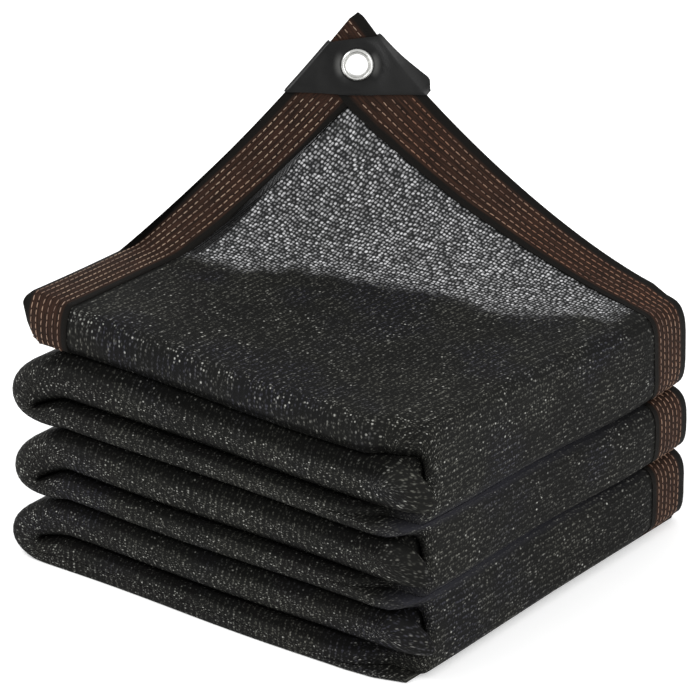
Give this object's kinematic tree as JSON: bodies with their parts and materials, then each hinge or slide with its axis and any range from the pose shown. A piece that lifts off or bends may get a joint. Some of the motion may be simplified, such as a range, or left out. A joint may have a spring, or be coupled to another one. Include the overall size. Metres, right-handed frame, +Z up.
{
  "type": "folded shade cloth",
  "caption": "Folded knitted shade cloth in a square stack, stitched brown edge band, finished corner drawn up to a peak with vinyl patch and metal eyelet",
  "frame": {"origin": "middle of the outline's bounding box, at the surface it rests on", "axes": "+X runs along the front face towards the folded right side, +Y from the front face to the banded side edge, +Z up; the peak is at low X and high Y"},
  "size_m": [0.3598, 0.3232, 0.3289],
  "materials": {
    "cloth": "black knitted polyethylene mesh, dull with small glints",
    "band": "dark brown tape with rows of orange-tan stitching",
    "patch": "black vinyl, soft sheen",
    "eyelet": "nickel-plated, polished"
  },
  "bodies": {
    "root": {"cloth_top": "cloth", "cloth_folds": "cloth", "side_band": "band", "end_band": "band", "corner_patch": "patch", "eyelet": "eyelet"}
  },
  "joints": []
}
